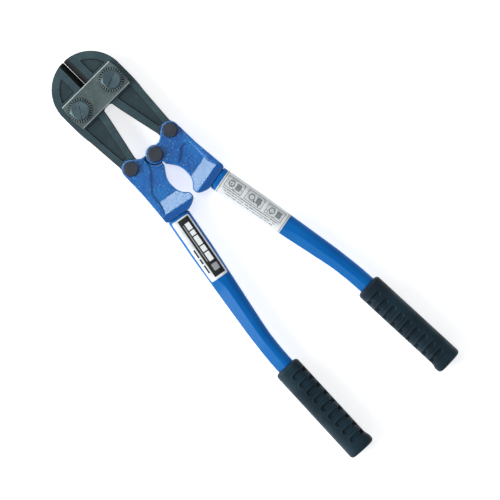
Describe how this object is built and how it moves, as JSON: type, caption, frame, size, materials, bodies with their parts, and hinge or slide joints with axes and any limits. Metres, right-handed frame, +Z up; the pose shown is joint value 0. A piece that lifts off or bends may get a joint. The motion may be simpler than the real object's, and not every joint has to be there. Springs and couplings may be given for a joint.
{
  "type": "bolt cutters",
  "caption": "Compound-lever bolt cutters with forged blades, twin strap plates, cast handle heads, bent steel tubes and ribbed rubber grips.",
  "frame": {"origin": "centre of the pivot nut's underside, on the resting plane", "axes": "+Y from the centre pivot to the cutting tips, +X to the right handle, +Z up off the resting plane"},
  "size_m": [0.1418, 0.4521, 0.03],
  "materials": {
    "blade_steel": "dark oiled forged steel, satin",
    "strap_steel": "satin grey steel plate",
    "strap_fastener_steel": "turned steel, satin",
    "fastener_steel": "black oxide steel",
    "cast_paint": "blue paint over a sand-cast surface",
    "tube_paint": "smooth blue paint, semi-gloss",
    "grip_rubber": "matt moulded rubber",
    "printed_film": "white printed film",
    "silver_film": "pale silver printed film"
  },
  "bodies": {
    "pivot": {"hub_bolt": "fastener_steel", "hub_nut": "fastener_steel"},
    "left_handle": {"left_casting": "cast_paint", "left_tube": "tube_paint", "left_grip": "grip_rubber", "left_label": "printed_film", "left_jaw_bolt": "fastener_steel", "left_jaw_nut": "fastener_steel"},
    "right_handle": {"right_casting": "cast_paint", "right_tube": "tube_paint", "right_grip": "grip_rubber", "right_label": "silver_film", "right_jaw_bolt": "fastener_steel", "right_jaw_nut": "fastener_steel"},
    "left_jaw": {"left_jaw": "blade_steel"},
    "right_jaw": {"right_jaw": "blade_steel"},
    "straps": {"upper_strap": "strap_steel", "lower_strap": "strap_steel", "left_lock_ring": "strap_fastener_steel", "right_lock_ring": "strap_fastener_steel", "left_strap_bolt": "strap_fastener_steel", "right_strap_bolt": "strap_fastener_steel", "left_strap_nut": "strap_fastener_steel", "right_strap_nut": "strap_fastener_steel"}
  },
  "joints": [
    {"name": "left_handle_pivot", "type": "hinge", "parent": "pivot", "child": "left_handle", "pos_m": [0, 0, 0.015], "axis": [0, 0, -1], "range_deg": [-0.4, 50]},
    {"name": "right_handle_pivot", "type": "hinge", "parent": "pivot", "child": "right_handle", "pos_m": [0, 0, 0.015], "axis": [0, 0, 1], "range_deg": [-0.4, 50]},
    {"name": "left_jaw_pivot", "type": "hinge", "parent": "left_handle", "child": "left_jaw", "pos_m": [-0.0256, 0.0063, 0.015], "axis": [0, 0, 1], "range_deg": [-0.5, 61.2]},
    {"name": "right_jaw_pivot", "type": "hinge", "parent": "right_handle", "child": "right_jaw", "pos_m": [0.0256, 0.0063, 0.015], "axis": [0, 0, -1], "range_deg": [-0.5, 61.2]},
    {"name": "strap_pivot", "type": "hinge", "parent": "left_jaw", "child": "straps", "pos_m": [-0.0203, 0.0779, 0.015], "axis": [0, 0, -1], "range_deg": [-0.1, 11.2]}
  ],
  "couplings": [
    {"joint": "right_handle_pivot", "follows": "left_handle_pivot", "ratio": 1},
    {"joint": "left_jaw_pivot", "follows": "left_handle_pivot", "ratio": 1.2234},
    {"joint": "right_jaw_pivot", "follows": "left_handle_pivot", "ratio": 1.2234},
    {"joint": "strap_pivot", "follows": "left_handle_pivot", "ratio": 0.2234}
  ]
}
